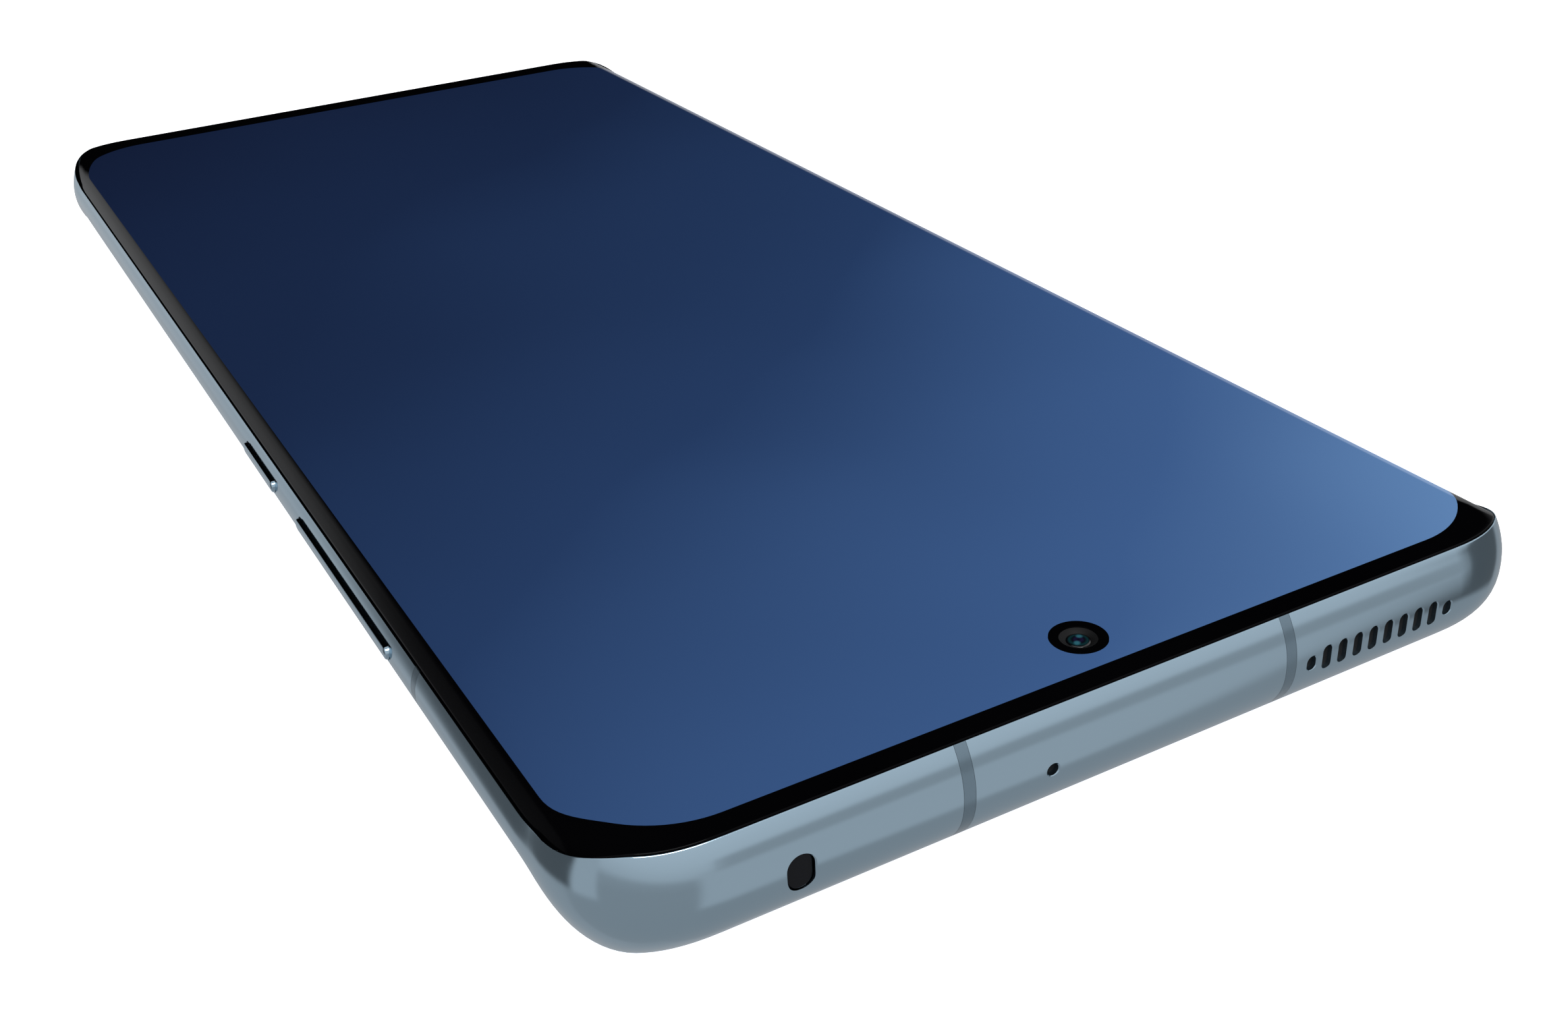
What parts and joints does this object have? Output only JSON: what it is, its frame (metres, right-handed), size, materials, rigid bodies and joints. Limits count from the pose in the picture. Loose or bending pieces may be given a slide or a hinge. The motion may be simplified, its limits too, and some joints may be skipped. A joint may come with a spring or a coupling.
{
  "type": "smartphone",
  "caption": "Slab smartphone with a side-curved glass screen, satin metal band, side keys, speaker slots, pull-out card tray and raised rear camera island.",
  "frame": {"origin": "centre of the flat outer face of the back cover", "axes": "+Z out of the screen, +Y towards the top end with the front camera, +X towards the side with the keys"},
  "size_m": [0.0749, 0.1636, 0.0109],
  "materials": {
    "frame_metal": "satin anodised, pale blue-grey",
    "front_glass": "polished glass with a black border printed behind it",
    "display": "lit screen with a plain blue gradient",
    "back_glass": "satin etched glass, pale blue",
    "aerial_plastic": "flush moulded plastic",
    "dark_glass": "polished dark glass",
    "module_black": "matt black moulding",
    "lens_glass": "coated lens glass",
    "lamp": "lamp die in clear resin",
    "copper": "copper",
    "flex": "amber polyimide film",
    "grille_mesh": "fine black woven mesh",
    "steel": "stamped sheet",
    "screw_steel": "blackened machine screw",
    "tungsten": "sintered weight",
    "board": "solder mask over a circuit board",
    "bracket_plastic": "glass-filled moulding with plated aerial tracks",
    "battery_pouch": "black-wrapped pouch cell",
    "tape": "stretch-release adhesive strip",
    "ferrite": "flexible ferrite sheet"
  },
  "bodies": {
    "phone_body": {"mid_frame": "frame_metal", "cover_glass": "front_glass", "display_panel": "display", "back_cover": "back_glass", "aerial_break_top_right": "aerial_plastic", "aerial_break_top_left": "aerial_plastic", "aerial_break_bottom_right": "aerial_plastic", "aerial_break_bottom_left": "aerial_plastic", "aerial_break_right_side": "aerial_plastic", "aerial_break_left_side": "aerial_plastic", "camera_island": "frame_metal", "camera_cover_glass": "dark_glass", "main_camera": "module_black", "wide_camera": "module_black", "macro_camera": "module_black", "flash_led": "lamp", "front_camera": "module_black", "front_camera_lens": "lens_glass", "fingerprint_sensor": "module_black", "heat_spreader": "copper", "display_flex": "flex", "top_speaker": "module_black", "top_speaker_mesh": "grille_mesh", "top_microphone": "steel", "emitter_window": "dark_glass", "emitter_led": "lamp", "main_board": "board", "processor": "module_black", "processor_shield": "steel", "radio_shield": "steel", "upper_bracket": "bracket_plastic", "battery": "battery_pouch", "battery_tape": "tape", "battery_flex": "flex", "charging_coil": "copper", "coil_shield": "ferrite", "board_link_flex": "flex", "low_board": "board", "usb_shell": "steel", "usb_tongue": "module_black", "bottom_speaker": "module_black", "bottom_speaker_mesh": "grille_mesh", "bottom_microphone": "steel", "vibration_motor": "steel", "card_reader": "steel", "lower_bracket": "bracket_plastic", "power_switch": "steel", "volume_switch": "steel", "screw_1": "screw_steel", "screw_2": "screw_steel", "screw_3": "screw_steel", "screw_4": "screw_steel", "screw_5": "screw_steel", "screw_6": "screw_steel"},
    "power_key": {"power_key": "frame_metal"},
    "volume_key": {"volume_key": "frame_metal"},
    "card_tray": {"card_tray": "frame_metal"},
    "focus_barrel": {"main_camera_lens": "module_black"},
    "vibration_mass": {"vibration_mass": "tungsten"}
  },
  "joints": [
    {"name": "power_key_press", "type": "slide", "parent": "phone_body", "child": "power_key", "axis": [-1, 0, 0], "range_m": [0, 0.0003], "stiffness_N_per_m": 2500},
    {"name": "volume_key_rock", "type": "hinge", "parent": "phone_body", "child": "volume_key", "pos_m": [0.0344, 0.0355, 0.00432], "axis": [0, 0, 1], "range_deg": [-1.2, 1.2], "stiffness_Nm_per_rad": 0.4},
    {"name": "card_tray_slide", "type": "slide", "parent": "phone_body", "child": "card_tray", "axis": [0, -1, 0], "range_m": [0, 0.025]},
    {"name": "focus_travel", "type": "slide", "parent": "phone_body", "child": "focus_barrel", "axis": [0, 0, -1], "range_m": [0, 0.0003], "stiffness_N_per_m": 300},
    {"name": "vibration_shake", "type": "slide", "parent": "phone_body", "child": "vibration_mass", "axis": [1, 0, 0], "range_m": [-0.0006, 0.0006], "stiffness_N_per_m": 1300}
  ]
}
